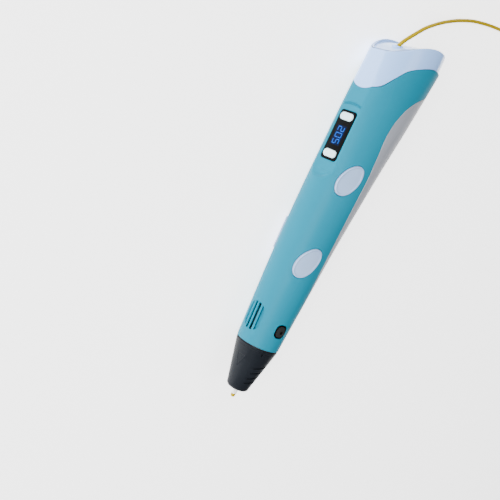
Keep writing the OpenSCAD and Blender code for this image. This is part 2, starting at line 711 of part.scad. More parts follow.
laid_down() main_shell();
laid_down() rear_cover();
laid_down() tail_cap();
laid_down() seam_ring();
laid_down() display_bezel();
laid_down() display_panel();
laid_down() key_up();
laid_down() key_down();
laid_down() feed_button();
laid_down() retract_button();
laid_down() slider_track();
laid_down() speed_slider();
laid_down() speed_potentiometer();
laid_down() latch_button();
laid_down() nose_cone();
laid_down() ceramic_nozzle();
laid_down() melt_bead();
laid_down() heater_sleeve();
laid_down() heater_insulation();
laid_down() thermistor();
laid_down() nozzle_holder();
laid_down() guide_tube();
laid_down() upper_guide_tube();
laid_down() inlet_ferrule();
laid_down() filament_core();
laid_down() fan_frame();
laid_down() fan_rotor();
laid_down() drive_bracket();
laid_down() drive_wheel();
laid_down() drive_gear();
laid_down() motor_pinion();
laid_down() idler_arm();
laid_down() idler_bearing();
laid_down() idler_pivot();
laid_down() idler_spring();
laid_down() gearbox();
laid_down() drive_motor();
laid_down() main_board();
laid_down() board_chips();
laid_down() key_switches();
laid_down() button_board();
laid_down() button_switches();
laid_down() power_jack();
laid_down() jack_pin();
laid_down() board_screws();
laid_down() bracket_screws();
laid_down() heater_wires();
laid_down() motor_wires();
laid_down() power_wires();
filament_strand();
filament_coil();
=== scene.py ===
import json
import math

import bpy
import numpy as np
from mathutils import Matrix


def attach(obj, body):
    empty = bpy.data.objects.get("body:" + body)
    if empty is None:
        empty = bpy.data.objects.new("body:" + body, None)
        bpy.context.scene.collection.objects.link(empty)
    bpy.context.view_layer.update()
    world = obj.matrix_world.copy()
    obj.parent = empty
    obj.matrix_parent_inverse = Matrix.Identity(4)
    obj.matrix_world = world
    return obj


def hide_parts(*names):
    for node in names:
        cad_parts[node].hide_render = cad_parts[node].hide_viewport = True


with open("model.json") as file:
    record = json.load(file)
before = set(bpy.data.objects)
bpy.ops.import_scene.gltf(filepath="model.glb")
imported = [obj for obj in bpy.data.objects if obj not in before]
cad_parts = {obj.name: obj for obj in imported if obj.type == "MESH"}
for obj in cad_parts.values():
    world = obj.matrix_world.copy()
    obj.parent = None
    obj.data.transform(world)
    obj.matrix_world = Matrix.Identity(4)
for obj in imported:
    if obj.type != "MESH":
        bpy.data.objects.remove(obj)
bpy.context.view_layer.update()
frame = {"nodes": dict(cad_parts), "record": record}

# Shapes are made in millimetres for an upright pen: the nozzle's tip is the origin, the tail is up
# and the display faces -Y. row() lays the pen down in the row's frame and gives metres.
ROW_X, ROW_Y, ROW_Z = 88.35, 8.65, 13.56


def row(p):
    """Upright-pen millimetres to row metres."""
    p = np.atleast_2d(np.asarray(p, float))
    return np.stack([ROW_X - p[:, 2], p[:, 1] - ROW_Y, p[:, 0] + ROW_Z], axis=1) / 1000


def row_dir(v):
    """Directions of the upright pen to directions in the row."""
    v = np.atleast_2d(np.asarray(v, float))
    return np.stack([-v[:, 2], v[:, 1], v[:, 0]], axis=1)


def add_object(name, data):
    obj = bpy.data.objects.new(name, data)
    bpy.context.scene.collection.objects.link(obj)
    return obj


def axes_matrix(x, y, z, place):
    """The matrix of an object with these axes at this place."""
    m = np.eye(4)
    m[:3, 0], m[:3, 1], m[:3, 2], m[:3, 3] = x, y, z, place
    return Matrix(m.tolist())


# Camera

CAMERA_TURN, CAMERA_HEIGHT, CAMERA_DISTANCE = math.radians(40.71), 100.37, 331.56
AIM_ACROSS, AIM_UP, CAMERA_ROLL = -0.0634097, -0.1109764, 0.43548
SENSOR, LENS = 36, 52.99128


def place_camera():
    """Stands the camera beside the upright pen, then aims it across and up, and rolls it."""
    s, c = math.sin(CAMERA_TURN), math.cos(CAMERA_TURN)
    eye = np.array([CAMERA_DISTANCE * s, -CAMERA_DISTANCE * c, CAMERA_HEIGHT])
    ahead, right, up = np.array([-s, c, 0]), np.array([c, s, 0]), np.array([0, 0, 1.0])
    level = ahead * math.cos(AIM_ACROSS) + right * math.sin(AIM_ACROSS)
    side = right * math.cos(AIM_ACROSS) - ahead * math.sin(AIM_ACROSS)
    view = level * math.cos(AIM_UP) + up * math.sin(AIM_UP)
    over = up * math.cos(AIM_UP) - level * math.sin(AIM_UP)
    rolled_side = side * math.cos(CAMERA_ROLL) + over * math.sin(CAMERA_ROLL)
    rolled_over = over * math.cos(CAMERA_ROLL) - side * math.sin(CAMERA_ROLL)
    data = bpy.data.cameras.new("camera")
    data.sensor_width, data.sensor_height, data.lens = SENSOR, SENSOR, LENS
    data.clip_start, data.clip_end = 0.01, 20
    camera = add_object("camera", data)
    camera.matrix_world = axes_matrix(
        row_dir(rolled_side)[0], row_dir(rolled_over)[0], -row_dir(view)[0], row(eye)[0])
    bpy.context.scene.camera = camera


place_camera()


# Materials

MOTTLE_SHARE = 0.06  # of the fine noise's scale
MOTTLE_DETAIL, FINE_DETAIL = 4, 3
LEAST_ROUGH, COAT_ROUGH, RELIEF_STRENGTH = 0.03, 0.12, 0.35
SUBSURFACE_RADIUS = (0.0012, 0.0012, 0.0016)


def add_noise(tree, place, scale, detail):
    noise = tree.nodes.new("ShaderNodeTexNoise")
    noise.inputs["Scale"].default_value = scale
    noise.inputs["Detail"].default_value = detail
    tree.links.new(place.outputs["Object"], noise.inputs["Vector"])
    return noise


def material(name, color, rough, metallic=0.0, speck=0.03, bump=0.004, scale=900.0, coat=0.0,
             glow=None, rough_spread=0.08, specular=0.5, subsurface=0.0):
    """Principled shader with uniform values on its sockets, and noise for mottling, roughness and
    fine relief. The bump is in millimetres, and glow is a colour and a strength."""
    mat = bpy.data.materials.new(name)
    mat.use_nodes = True
    tree = mat.node_tree
    shader = tree.nodes["Principled BSDF"]
    shader.inputs["Base Color"].default_value = (*color, 1)
    shader.inputs["Roughness"].default_value = rough
    shader.inputs["Metallic"].default_value = metallic
    shader.inputs["IOR"].default_value = 1.5
    shader.inputs["Specular IOR Level"].default_value = specular
    shader.inputs["Coat Weight"].default_value = coat
    shader.inputs["Coat Roughness"].default_value = COAT_ROUGH
    shader.inputs["Subsurface Weight"].default_value = subsurface
    shader.inputs["Subsurface Radius"].default_value = SUBSURFACE_RADIUS
    if glow:
        shader.inputs["Emission Color"].default_value = (*glow[0], 1)
        shader.inputs["Emission Strength"].default_value = glow[1]
    place = tree.nodes.new("ShaderNodeTexCoord")
    wide = add_noise(tree, place, scale * MOTTLE_SHARE, MOTTLE_DETAIL)
    fine = add_noise(tree, place, scale, FINE_DETAIL)
    tint = tree.nodes.new("ShaderNodeMix")
    tint.data_type = "RGBA"
    dark = tuple(max(c * (1 - speck * 2), 0) for c in color)
    light = tuple(min(c * (1 + speck) + speck * 0.02, 1) for c in color)
    tint.inputs["A"].default_value = (*dark, 1)
    tint.inputs["B"].default_value = (*light, 1)
    tree.links.new(wide.outputs["Fac"], tint.inputs["Factor"])
    tree.links.new(tint.outputs["Result"], shader.inputs["Base Color"])
    spread = tree.nodes.new("ShaderNodeMapRange")
    spread.inputs["To Min"].default_value = max(rough - rough_spread, LEAST_ROUGH)
    spread.inputs["To Max"].default_value = min(rough + rough_spread, 1)
    tree.links.new(wide.outputs["Fac"], spread.inputs["Value"])
    tree.links.new(spread.outputs["Result"], shader.inputs["Roughness"])
    relief = tree.nodes.new("ShaderNodeBump")
    relief.inputs["Strength"].default_value = RELIEF_STRENGTH
    relief.inputs["Distance"].default_value = bump / 1000
    tree.links.new(fine.outputs["Fac"], relief.inputs["Height"])
    tree.links.new(relief.outputs["Normal"], shader.inputs["Normal"])
    return mat


LOOKS = {name: material(name, color, rough, **more) for name, color, rough, more in (
    ("sky_shell", (0.0, 0.175, 0.262), 0.42, dict(bump=0.006, specular=0.05)),
    ("white_shell", (0.32, 0.54, 0.98), 0.14, dict(bump=0.003, specular=0.7, rough_spread=0.04)),
    ("leaf_shell", (0.27, 0.28, 0.32), 0.42, dict(bump=0.006)),
    ("button_white", (0.28, 0.40, 0.62), 0.36, dict(bump=0.01, subsurface=0.1)),
    ("key_white", (0.70, 0.95, 1.0), 0.36, dict(bump=0.01, subsurface=0.1)),
    ("black_gloss", (0.0008, 0.0008, 0.001), 0.3, dict(bump=0.003, specular=0.04)),
    ("latch_face", (0.013, 0.014, 0.014), 0.45, dict(bump=0.01, specular=0.15)),
    ("display", (0.0, 0.002, 0.01), 0.25,
     dict(bump=0.002, specular=0.05, glow=((0.0, 0.015, 0.2), 0.2))),
    ("digits", (0.0, 0.03, 0.2), 0.3, dict(bump=0.002, specular=0.05, glow=((0.0, 0.2, 1.0), 0.7))),
    ("black_matte", (0.018, 0.018, 0.02), 0.62, dict(bump=0.012, speck=0.1)),
    ("slate", (0.007, 0.009, 0.0125), 0.42, dict(bump=0.02, speck=0.12, scale=1400, specular=0.1)),
    ("ceramic", (0.88, 0.89, 0.92), 0.36, dict(bump=0.006, subsurface=0.15)),
    ("filament", (0.36, 0.25, 0.0), 0.34, dict(bump=0.006, specular=0.03)),
    ("brass", (0.72, 0.50, 0.20), 0.34, dict(metallic=1, bump=0.01, speck=0.08)),
    ("wrap", (0.62, 0.50, 0.26), 0.85, dict(bump=0.06, scale=2200, speck=0.15)),
    ("epoxy", (0.24, 0.06, 0.02), 0.3, dict(bump=0.01)),
    ("ptfe", (0.78, 0.80, 0.82), 0.46, dict(bump=0.004, subsurface=0.2)),
    ("steel", (0.55, 0.55, 0.57), 0.30, dict(metallic=1, bump=0.008, speck=0.08)),
    ("nylon", (0.62, 0.63, 0.60), 0.52, dict(bump=0.012)),
    ("gear", (0.74, 0.70, 0.52), 0.45, dict(bump=0.008)),
    ("board", (0.010, 0.12, 0.045), 0.38, dict(coat=0.3, bump=0.02, scale=3000, speck=0.2)),
    ("wire", (0.012, 0.012, 0.014), 0.45, dict(bump=0.006)),
)}


# Meshes

SHARP_ANGLE = math.radians(38)
ROLL_STEPS = 5
NORMAL_STEP, NORMAL_STEP_Z = 2e-4, 4e-3
CROSSING_ROUNDS = 2


def finish_piece(obj, look, body, *nodes):
    obj.data.materials.append(LOOKS[look])
    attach(obj, body)
    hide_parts(*nodes)


def mesh_piece(name, points, faces, look, body, node, normals=None):
    """A piece from upright-pen millimetres, with its own vertex normals where they are known."""
    points = np.asarray(points, float)
    used = np.zeros(len(points), bool)
    for f in faces:
        used[list(f)] = True
    index = np.cumsum(used) - 1
    mesh = bpy.data.meshes.new(name)
    kept_faces = [tuple(int(index[v]) for v in f) for f in faces]
    mesh.from_pydata(row(points[used]).tolist(), [], kept_faces)
    mesh.polygons.foreach_set("use_smooth", [True] * len(mesh.polygons))
    if normals is not None:
        mesh.normals_split_custom_set_from_vertices(row_dir(np.asarray(normals)[used]).tolist())
    else:
        mesh.set_sharp_from_angle(angle=SHARP_ANGLE)
    mesh.update()
    finish_piece(add_object(name, mesh), look, body, node)


def ring_piece(name, rings, look, body, node, closed_low=True, closed_high=True, flip=False):
    """A piece from rings with equal numbers of points, stacked in order."""
    n = len(rings[0])
    faces = []
    for k in range(len(rings) - 1):
        for i in range(n):
            j = (i + 1) % n
            faces.append((k * n + i, k * n + j, (k + 1) * n + j, (k + 1) * n + i))
    if closed_low:
        faces.append(tuple(range(n - 1, -1, -1)))
    if closed_high:
        faces.append(tuple((len(rings) - 1) * n + i for i in range(n)))
    if flip:
        faces = [f[::-1] for f in faces]
    mesh_piece(name, np.concatenate(rings), faces, look, body, node)


def full_turn(n):
    return np.linspace(0, 2 * math.pi, n, endpoint=False)


def circle(r, z, n):
    """A level ring around the pen's axis."""
    az = full_turn(n)
    return np.stack([r * np.sin(az), -r * np.cos(az), np.full(n, z)], axis=1)


def spaced(bounds):
    """Grid lines: [(start, spacing), ..., (end, None)]."""
    lines = [np.array([bounds[0][0]])]
    for (a, s), (b, _) in zip(bounds, bounds[1:]):
        lines.append(np.linspace(a, b, max(2, math.ceil((b - a) / s) + 1))[1:])
    return np.concatenate(lines)


class Skin:
    """A mesh of faces over two surface parameters, cut along curves whose edges are then rolled
    inwards. place turns the parameters into points."""

    def __init__(self, us, zs, place):
        self.place = place
        nu, nz = len(us), len(zs)
        uu, zz = np.meshgrid(us, zs, indexing="ij")
        self.par = np.stack([uu.ravel(), zz.ravel()], axis=1)
        i, j = np.meshgrid(np.arange(nu - 1), np.arange(nz - 1), indexing="ij")
        a = (i * nz + j).ravel()
        corners = np.stack([a, a + nz, a + nz + 1, a + 1], axis=1)
        self.faces = list(map(tuple, corners.tolist()))
        self.rims = []

    def cut(self, g, roll, depth):
        """Keeps where g, in millimetres, is above roll. The new edge is rolled inwards over that
        distance and then goes down by depth."""
        value = g(self.place(self.par)) - roll
        par, extra, seen, kept, edges = self.par, [], {}, [], []

        def crossing(a, b):
            """The new vertex where g crosses the edge between two vertices."""
            key = (min(a, b), max(a, b))
            if key not in seen:
                lo, hi = key
                pa, pb, va, vb = par[lo], par[hi], value[lo], value[hi]
                s = va / (va - vb)
                for _ in range(CROSSING_ROUNDS):
                    m = (pa + (pb - pa) * s)[None]
                    v = float(g(self.place(m))[0]) - roll
                    if (v > 0) == (va > 0):
                        pa, va = m[0], v
                    else:
                        pb, vb = m[0], v
                    s = va / (va - vb) if va != vb else 0.5
                seen[key] = len(par) + len(extra)
                extra.append(pa + (pb - pa) * s)
            return seen[key]

        above = value > 0
        for face in self.faces:
            flags = [above[v] for v in face]
            if all(flags):
                kept.append(face)
                continue
            if not any(flags):
                continue
            out, marks = [], []
            for k, v in enumerate(face):
                w = face[(k + 1) % len(face)]
                if above[v]:
                    out.append(v)
                    marks.append(False)
                if above[v] != above[w]:
                    out.append(crossing(v, w))
                    marks.append(True)
            if len(out) > 2:
                kept.append(tuple(out))
                for k, v in enumerate(out):
                    following = (k + 1) % len(out)
                    if marks[k] and marks[following] and v != out[following]:
                        edges.append((v, out[following]))
        if extra:
            self.par = np.concatenate([par, np.array(extra)])
        self.faces = kept
        self.rims.append((edges, roll, depth))

    def build(self, name, look, body, node):
        """Adds the rolled edges and makes the piece."""
        pos = self.place(self.par)
        du = self.place(self.par + [NORMAL_STEP, 0]) - self.place(self.par - [NORMAL_STEP, 0])
        dz = self.place(self.par + [0, NORMAL_STEP_Z]) - self.place(self.par - [0, NORMAL_STEP_Z])
        nor = np.cross(du, dz)
        nor /= np.linalg.norm(nor, axis=1)[:, None]
        used = np.zeros(len(pos), bool)
        for f in self.faces:
            used[list(f)] = True
        points, normals, faces = [pos], [nor], list(self.faces)
        total = len(pos)
        for edges, roll, depth in self.rims:
            edges = [(a, b) for a, b in edges if used[a] and used[b]]
            if not edges:
                continue
            outward = {}
            for a, b in edges:
                t = pos[b] - pos[a]
                for v in (a, b):
                    outward[v] = outward.get(v, 0) + np.cross(t, nor[v])
            ids = list(outward)
            d = np.array([outward[v] for v in ids])
            d /= np.maximum(np.linalg.norm(d, axis=1), 1e-9)[:, None]
            base, up = pos[ids], nor[ids]
            local = {v: k for k, v in enumerate(ids)}
            previous = {v: v for v in ids}
            for k in range(1, ROLL_STEPS + 2):
                if k <= ROLL_STEPS:
                    w = math.pi / 2 * k / ROLL_STEPS
                    ring = base + d * roll * math.sin(w) - up * roll * (1 - math.cos(w))
                    ring_normals = up * math.cos(w) + d * math.sin(w)
                else:
                    ring, ring_normals = base + d * roll - up * (roll + depth), d
                points.append(ring)
                normals.append(ring_normals)
                now = {v: total + local[v] for v in ids}
                faces += [(previous[b], previous[a], now[a], now[b]) for a, b in edges]
                previous = now
                total += len(ids)
        mesh_piece(name, np.concatenate(points), faces, look, body, node, np.concatenate(normals))


# Curves and distances

def smooth(table, x, k=1):
    """The same smooth curve through a table's rows as the CAD uses."""
    x = np.asarray(x, float)
    t, v = table[:, 0], table[:, k]
    slope = np.empty(len(t))
    slope[1:-1] = (v[2:] - v[:-2]) / (t[2:] - t[:-2])
    slope[0], slope[-1] = (v[1] - v[0]) / (t[1] - t[0]), (v[-1] - v[-2]) / (t[-1] - t[-2])
    i = np.clip(np.searchsorted(t, x, side="right") - 1, 0, len(t) - 2)
    w = t[i + 1] - t[i]
    s = (x - t[i]) / w
    return ((2 * s**3 - 3 * s**2 + 1) * v[i] + (s**3 - 2 * s**2 + s) * w * slope[i]
            + (3 * s**2 - 2 * s**3) * v[i + 1] + (s**3 - s**2) * w * slope[i + 1])


def step(d, soft):
    """1 where d is well below zero, 0 above it, over a soft width."""
    s = np.clip(0.5 - d / (2 * soft), 0, 1)
    return s * s * (3 - 2 * s)


def box_distance(x, y, w, h, r):
    """Signed distance to a rounded rectangle, negative inside it."""
    qx, qy = np.abs(x) - w / 2 + r, np.abs(y) - h / 2 + r
    return np.hypot(np.maximum(qx, 0), np.maximum(qy, 0)) + np.minimum(np.maximum(qx, qy), 0) - r


def side_curve_distance(table, p):
    """Height of a curve in the side view above each point, measured square to the curve."""
    y = np.clip(p[:, 1], table[0, 0], table[-1, 0])
    rise = (smooth(table, y + 0.05) - smooth(table, y - 0.05)) / 0.1
    return (smooth(table, y) - p[:, 2]) / np.sqrt(1 + rise**2)


def loop_distance(p, loop):
    """Signed distance in the side view to a closed outline, negative inside it."""
    q = p[:, 1:3]
    best = np.full(len(q), 1e9)
    inside = np.zeros(len(q), bool)
    for k in range(len(loop)):
        a, b = loop[k], loop[(k + 1) % len(loop)]
        e, w = b - a, q - a
        s = np.clip((w @ e) / max(e @ e, 1e-12), 0, 1)
        best = np.minimum(best, np.hypot(*(w - s[:, None] * e).T))
        cross = (a[1] > q[:, 1]) != (b[1] > q[:, 1])
        if b[1] != a[1]:
            inside ^= cross & (q[:, 0] < (b[0] - a[0]) * (q[:, 1] - a[1]) / (b[1] - a[1]) + a[0])
    return np.where(inside, -best, best)


# Casing surface

SEAM_Z = 26.4
# Height, half width, depth to the front and depth to the back.
STATIONS = np.array([
    [SEAM_Z, 10.2, 10.2, 10.1], [40, 10.8, 10.75, 11.1], [60, 11.6, 11.7, 12.9],
    [80, 12.4, 12.05, 14.5], [100, 13.1, 12.1, 17], [120, 13.4, 12.1, 20.2],
    [140, 13.55, 12.1, 24.1], [155, 13.5, 11.8, 26.7], [170, 13.45, 11.2, 29.1],
    [184, 13.2, 10.6, 31]])
CAP_LEAN, CAP_LEAN_Z = 0.0035, 150
# Edges in the side view: y and z, but z and y for the leaf.
CAP_EDGE = np.array([
    [-14, 149.4], [-10.6, 149.8], [-8, 151.8], [-4.6, 157], [-0.6, 162.3], [7, 166.8], [13, 169],
    [20, 170], [32, 170.2]])
TAIL_RIM = np.array([
    [-14, 165.8], [-10.6, 166.1], [-6.7, 168.5], [-1.9, 171.8], [4.2, 175.1], [10, 177],
    [17, 177.9], [32, 178.4]])
LEAF_EDGE = np.array([
    [44, 13], [46, 9.2], [50, 7], [60, 5.8], [80, 4.6], [100, 4.2], [114, 4.5], [124, 3.9],
    [133, 3.3], [140, 4.2], [146, 6.5], [150, 9.1], [154, 13.4], [157, 19]])
LEAF_LOOP = np.array([[smooth(LEAF_EDGE, z), z] for z in np.arange(44, 156.01, 1.0)] + [
    [15.6, 155.5], [19.0, 157.0], [23, 158.2], [27, 158.6], [45, 158.6], [45, 44]], float)
TONGUE_W, TONGUE_Z, TONGUE_CURVE = 5.25, 148.2, 0.055

FRONT_Y = -6  # features of the front face are only looked for in front of this
FLAT_Y, FLAT_W, FLAT_LOW, FLAT_SOFT = 10.65, 6.4, 107.0, 0.16
POCKET_Y, POCKET_W, POCKET_LOW = 10.35, 6.0, 109.5
BROW_Z, BROW_SAG, BROW_W = 141.2, 1.4, 6.3
GROOVE_W, GROOVE_HALF, GROOVE_DEPTH, GROOVE_DROP = 4.8, 0.25, 0.9, 0.4


def loft(par, inset=0.0, lean=0.0):
    """The plain casing over an angle from the front and a height."""
    u, z = par[:, 0], par[:, 1]
    a, f, b = (smooth(STATIONS, z, k) - inset for k in (1, 2, 3))
    b = b - lean * np.maximum(z - CAP_LEAN_Z, 0) ** 2
    return np.stack([a * np.sin(u), (b - f) / 2 - (b + f) / 2 * np.cos(u), z], axis=1)


def casing(par, lean=0.0):
    """The casing with the flat front face, the shallow display pocket and the groove above it."""
    x, y, z = loft(par, lean=lean).T
    front = y < FRONT_Y
    centre = FLAT_LOW + FLAT_W
    outside = np.where(z > centre, np.abs(x) - FLAT_W - 0.3, np.hypot(x, z - centre) - FLAT_W - 0.3)
    share = np.where(front, step(outside, 1.1), 0)
    d = y + FLAT_Y
    flat = 0.5 * (y - FLAT_Y + np.sqrt(d * d + FLAT_SOFT))
    y = y + share * (flat - y)
    brow = z - (BROW_Z - BROW_SAG * (x / BROW_W) ** 2)
    pocket = np.maximum(np.maximum(np.abs(x) - POCKET_W, brow), POCKET_LOW - z)
    y = y + np.where(front, step(pocket, 0.3), 0) * np.maximum(-POCKET_Y - y, 0)
    groove = np.maximum(np.abs(brow + GROOVE_DROP) - GROOVE_HALF, np.abs(x) - GROOVE_W)
    y = y + np.where(front, step(groove, 0.6), 0) * GROOVE_DEPTH
    return np.stack([x, y, z], axis=1)


def cap_casing(par):
    return casing(par, CAP_LEAN)


def facing(turn, z, shift=0.0):
    """A frame on the casing's side: its origin, and its directions around the pen, up the pen and
    outwards. The turn is in degrees from the front."""
    a = math.radians(turn)
    t, n = np.array([math.cos(a), math.sin(a), 0]), np.array([math.sin(a), -math.cos(a), 0])
    return t * shift + np.array([0, 0, z]), t, np.array([0, 0, 1.0]), n


def on_frame(local, height, f):
    """Points around, up and out in a facing frame."""
    o, t, up, n = f
    return o + local[:, :1] * t + local[:, 1:2] * up + np.asarray(height).reshape(-1, 1) * n


def skin_height(local, f):
    """How far out the smooth casing lies in a facing frame, at points around and up."""
    o, t, up, n = f
    base = o + local[:, :1] * t + local[:, 1:2] * up
    a, front, b = (smooth(STATIONS, base[:, 2], k) for k in (1, 2, 3))
    y0, depth = (b - front) / 2, (b + front) / 2
    qa = (n[0] / a) ** 2 + (n[1] / depth) ** 2
    qb = 2 * (base[:, 0] * n[0] / a**2 + (base[:, 1] - y0) * n[1] / depth**2)
    qc = (base[:, 0] / a) ** 2 + ((base[:, 1] - y0) / depth) ** 2 - 1
    return (-qb + np.sqrt(qb * qb - 4 * qa * qc)) / (2 * qa)


# Openings in the casing

FAR, TONGUE_FAR = 30, 99  # distances given to points on another side of the pen
FACING_LEAST = 4
OVALS = {"retract_button": (110, 1.0), "feed_button": (70, 0.0)}  # height and shift
OVAL_TURN, OVAL_A, OVAL_B, OVAL_LEAN = 66, 7.9, 4.65, math.radians(23)
JACK_Y, JACK_W, DISH_Y, DISH_DEPTH = 15.5, 9.2, 8.5, 1.2
LATCH_W, LATCH_H, LATCH_R = 5.6, 6.4, 2.1
VENT_W, VENT_H, VENT_Z, VENT_R = 9.2, 13.0, 38.7, 3.8
# The ends of each gap across the vent, and how deep its edges go.
VENT_GAPS = ((-4.8, -2.85, 0.9), (-1.85, -0.5, 0.4), (0.5, 1.85, 0.4), (2.85, 4.8, 0.9))
BEZEL_Z, BEZEL_W, BEZEL_H, BEZEL_R = 126.0, 9.3, 22.7, 1.4
SIDE_FRAME = facing(-66, 74)
LATCH_FRAME = facing(85, 36.7)
BEZEL_FRAME = facing(0, BEZEL_Z)


def cap_gap(p):
    """How far each point lies below the tail cap's edge, which has a tongue on the flat face."""
    x, y, z = p.T
    on_tongue = (y < FRONT_Y) & (np.abs(x) < TONGUE_W)
    tongue = np.where(on_tongue, TONGUE_Z + TONGUE_CURVE * x * x - z, TONGUE_FAR)
    return np.minimum(side_curve_distance(CAP_EDGE, p), tongue)


def oval_distance(p, place, grow):
    o, t, up, n = facing(OVAL_TURN, *place)
    x, y = (p - o) @ t, (p - o) @ up
    lx = x * math.cos(OVAL_LEAN) - y * math.sin(OVAL_LEAN)
    ly = x * math.sin(OVAL_LEAN) + y * math.cos(OVAL_LEAN)
    a, b = OVAL_A + grow, OVAL_B + grow
    k = np.sqrt((lx / b) ** 2 + (ly / a) ** 2)
    d = (k - 1) * k / np.maximum(np.sqrt((lx / b**2) ** 2 + (ly / a**2) ** 2), 1e-6)
    return np.where((p - o) @ n > FACING_LEAST, d, FAR)


def square_distance(p, f, w, h, r, grow):
    o, t, up, n = f
    d = box_distance((p - o) @ t, (p - o) @ up, w + 2 * grow, h + 2 * grow, r + grow)
    return np.where((p - o) @ n > FACING_LEAST, d, FAR)


def vent_distance(p, x0, x1):
    """Distance to one gap of the vent, between two bars."""
    oval = box_distance(p[:, 0], p[:, 2] - VENT_Z, VENT_W, VENT_H, VENT_R)
    gap = np.maximum(oval, np.maximum(x0 - p[:, 0], p[:, 0] - x1))
    return np.where(p[:, 1] < FRONT_Y, gap, FAR)


def rim_height(y):
    return smooth(TAIL_RIM, np.clip(y, TAIL_RIM[0, 0], TAIL_RIM[-1, 0]))


# Casing and tail

FINE = 0.24
US = spaced([(-math.pi, 0.06), (-0.64, 0.016 * FINE / 0.2), (0.64, 0.05), (math.pi, None)])
VENT_FLOOR_INSET, VENT_FLOOR_HALF = 1.15, 2.6
RIM_POINTS, RIM_ROUNDS = 160, 14
# Each ring of the rim: how far in from the casing, and how far below the rim's height.
RIM_PROFILE = ((0.55, 0.0), (0.95, 0.0), (1.25, 0.12), (1.45, 0.4), (1.5, 0.9), (1.62, 1.12),
               (1.9, DISH_DEPTH))
INLET_R = 2.3


def build_casing():
    zs = spaced([(SEAM_Z, 0.8), (31.5, FINE), (46, 1.2), (104, FINE), (112, 0.4), (138, FINE),
                 (143, 0.8), (147, 0.4), (152, 0.8), (171.5, None)])
    shell = Skin(US, zs, casing)
    shell.cut(lambda p: p[:, 2] - SEAM_Z, 0.3, 1.3)
    shell.cut(lambda p: cap_gap(p) - 0.02, 0.25, 1.2)
    shell.cut(lambda p: loop_distance(p, LEAF_LOOP) - 0.02, 0.2, 1.2)
    for place in OVALS.values():
        shell.cut(lambda p: oval_distance(p, place, 0.2), 0.25, 1.4)
    shell.cut(lambda p: square_distance(p, LATCH_FRAME, LATCH_W, LATCH_H, LATCH_R, 0.15), 0.2, 1.4)
    shell.cut(lambda p: square_distance(p, SIDE_FRAME, 7.2, 25.2, 0.8, 0.1), 0.2, 1.4)
    shell.cut(lambda p: square_distance(p, BEZEL_FRAME, BEZEL_W, BEZEL_H, BEZEL_R, 0.12), 0.12, 1.0)
    for x0, x1, depth in VENT_GAPS:
        shell.cut(lambda p: vent_distance(p, x0, x1), 0.1, depth)
    shell.build("casing_shell", "sky_shell", "casing", "main_shell")

    floor = Skin(spaced([(-0.7, 0.03), (0.7, None)]), spaced([(31, 0.4), (46.5, None)]),
                 lambda par: loft(par, VENT_FLOOR_INSET))
    floor.cut(lambda p: -np.maximum(vent_distance(p, -9, 9) - 0.5,
                                    VENT_FLOOR_HALF - np.abs(p[:, 0])), 0.05, 0.3)
    floor.build("vent_floor", "sky_shell", "casing", "main_shell")

    leaf = Skin(spaced([(0.9, 0.05), (2 * math.pi - 0.9, None)]),
                spaced([(42, 0.8), (50, 1.2), (150, 0.7), (160, None)]), loft)
    leaf.cut(lambda p: -loop_distance(p, LEAF_LOOP) - 0.12, 0.2, 1.2)
    leaf.build("rear_leaf", "leaf_shell", "casing", "rear_cover")


def build_tail():
    cap = Skin(US, spaced([(146.5, 0.3), (151, 0.45), (181, None)]), cap_casing)
    cap.cut(lambda p: -cap_gap(p) - 0.12, 0.22, 1.2)
    cap.cut(lambda p: side_curve_distance(TAIL_RIM, p), 0.55, 0.0)
    cap.build("tail_shell", "white_shell", "casing", "tail_cap")
    u = np.linspace(-math.pi, math.pi, RIM_POINTS, endpoint=False)

    def rim_ring(inset, drop):
        z = np.full(RIM_POINTS, 172.0)
        for _ in range(RIM_ROUNDS):
            p = cap_casing(np.stack([u, z], axis=1))
            z = 0.4 * z + 0.6 * rim_height(p[:, 1])
        p = cap_casing(np.stack([u, z], axis=1))
        q = np.roll(p, -1, 0) - np.roll(p, 1, 0)
        side = np.stack([-q[:, 1], q[:, 0], 0 * u], axis=1)
        side /= np.linalg.norm(side, axis=1)[:, None]
        p = p + side * inset
        p[:, 2] = rim_height(p[:, 1]) - drop
        return p

    rings = [rim_ring(inset, drop) for inset, drop in RIM_PROFILE]
    ring_piece("tail_rim", rings, "white_shell", "casing", "tail_cap", False, False)
    edge = np.concatenate([rings[-1], rings[-1][:1]])
    turn = np.append(u, math.pi)

    def dish(par):
        """The sunken floor, over an angle and a share of the way from its middle to its edge."""
        w, s = -par[:, 0], par[:, 1]
        x = np.interp(w, turn, edge[:, 0]) * s
        y = DISH_Y + (np.interp(w, turn, edge[:, 1]) - DISH_Y) * s
        return np.stack([x, y, rim_height(y) - DISH_DEPTH], axis=1)

    us = np.linspace(-math.pi, math.pi, RIM_POINTS + 1)
    floor = Skin(us, spaced([(0.01, 0.03), (1, None)]), dish)
    floor.cut(lambda p: np.hypot(p[:, 0], p[:, 1]) - INLET_R, 0.12, 1.5)
    floor.cut(lambda p: box_distance(p[:, 0], p[:, 1] - JACK_Y, JACK_W, JACK_W, 0.8), 0.2, 1.2)
    floor.build("tail_dish", "white_shell", "casing", "tail_cap")


# Buttons and display

CORNER_STEPS = 10
OVAL_POINTS, OVAL_FOOT, OVAL_FACE_INSET, OVAL_FACE_RISE = 72, 9.75, 1.1, 0.22
# Each ring: how far in from the outline, and how far out from the casing.
OVAL_PROFILE = ((0, 0.25), (0.06, 0.5), (0.22, 0.66), (0.4, 0.7), (0.58, 0.66), (0.74, 0.48),
                (0.88, 0.3), (OVAL_FACE_INSET, OVAL_FACE_RISE))
SEGMENTS = {"0": "abcdef", "2": "abged", "5": "afgcd"}
SEGMENT_GAP = 0.04
DIGIT_W, DIGIT_H, DIGIT_BAR, DIGIT_PITCH, DIGIT_OUT = 2.3, 3.9, 0.42, 2.85, 10.535
KEY_OFFSET, KEY_W, KEY_H, KEY_R = 8.6, 7.3, 3.4, 1.6
